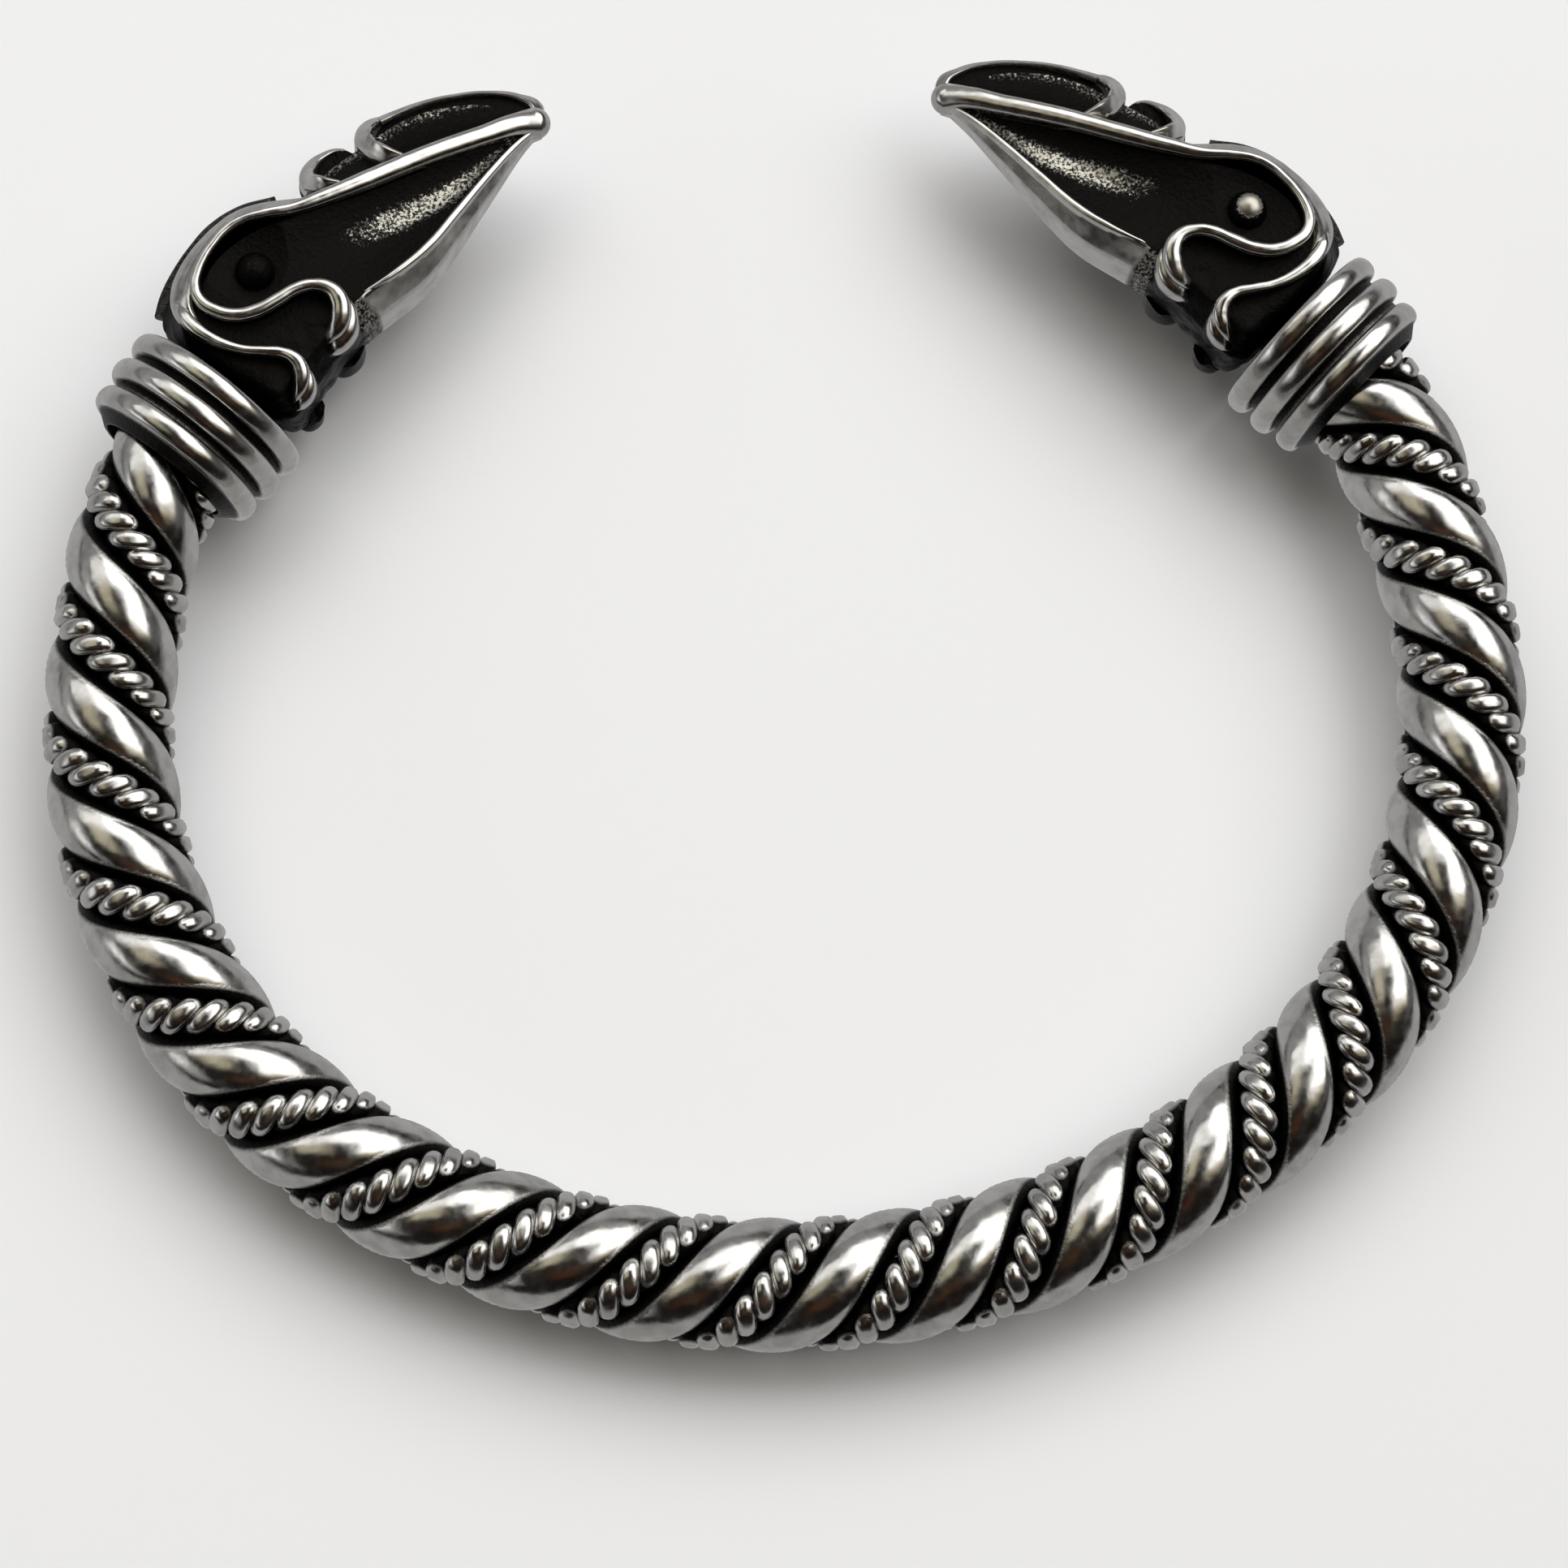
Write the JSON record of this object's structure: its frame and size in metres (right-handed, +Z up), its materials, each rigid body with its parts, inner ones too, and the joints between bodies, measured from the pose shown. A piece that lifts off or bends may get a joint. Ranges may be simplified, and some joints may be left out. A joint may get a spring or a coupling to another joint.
{
  "type": "viking arm ring",
  "caption": "Open twisted arm ring of heavy strands and fine ropes, with a ringed collar and a raven's head at each end.",
  "frame": {"origin": "middle of the box around the ring, on the surface that it lies on", "axes": "+X across the ring from the left head to the right head, +Y from the closed back toward the gap, +Z up from the surface"},
  "size_m": [0.0804, 0.071, 0.011],
  "materials": {
    "polished_steel": "polished, with blackened recesses",
    "blackened_steel": "dark oxidised"
  },
  "bodies": {
    "root": {"strand_a": "polished_steel", "strand_b": "polished_steel", "rope_a": "polished_steel", "rope_b": "polished_steel", "core_rod": "blackened_steel", "collar_left": "polished_steel", "collar_right": "polished_steel", "raven_head_left": "polished_steel", "raven_head_right": "polished_steel"}
  },
  "joints": []
}
